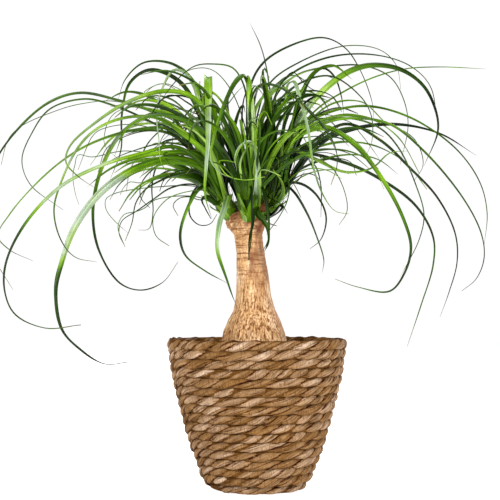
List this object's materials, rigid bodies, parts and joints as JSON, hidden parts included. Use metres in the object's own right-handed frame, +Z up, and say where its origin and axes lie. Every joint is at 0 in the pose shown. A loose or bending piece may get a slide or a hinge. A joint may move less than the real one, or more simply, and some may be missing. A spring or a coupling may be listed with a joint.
{
  "type": "potted ponytail palm",
  "caption": "Stump-grown ponytail palm with fountains of arching strap leaves, in a nursery pot inside a tapered basket of twisted rope rows.",
  "frame": {"origin": "middle of the basket's flat underside", "axes": "+Z up the basket's axis; +X to the right and -Y toward the viewer in the view that shows the trunk leaning slightly left; one unit is one metre in the row"},
  "size_m": [0.5273, 0.4256, 0.4786],
  "materials": {
    "fibre_rope": "rough twisted plant-fibre strands",
    "liner_film": "thin film",
    "pot_plastic": "matte",
    "potting_mix": "loose and crumbly",
    "bark": "fissured corky bark",
    "leaf": "smooth and slightly waxy"
  },
  "bodies": {
    "root": {"basket": "fibre_rope", "liner": "liner_film", "grow_pot": "pot_plastic", "soil": "potting_mix", "trunk": "bark", "head_left": "leaf", "head_front": "leaf", "head_right": "leaf", "head_back": "leaf"}
  },
  "joints": []
}
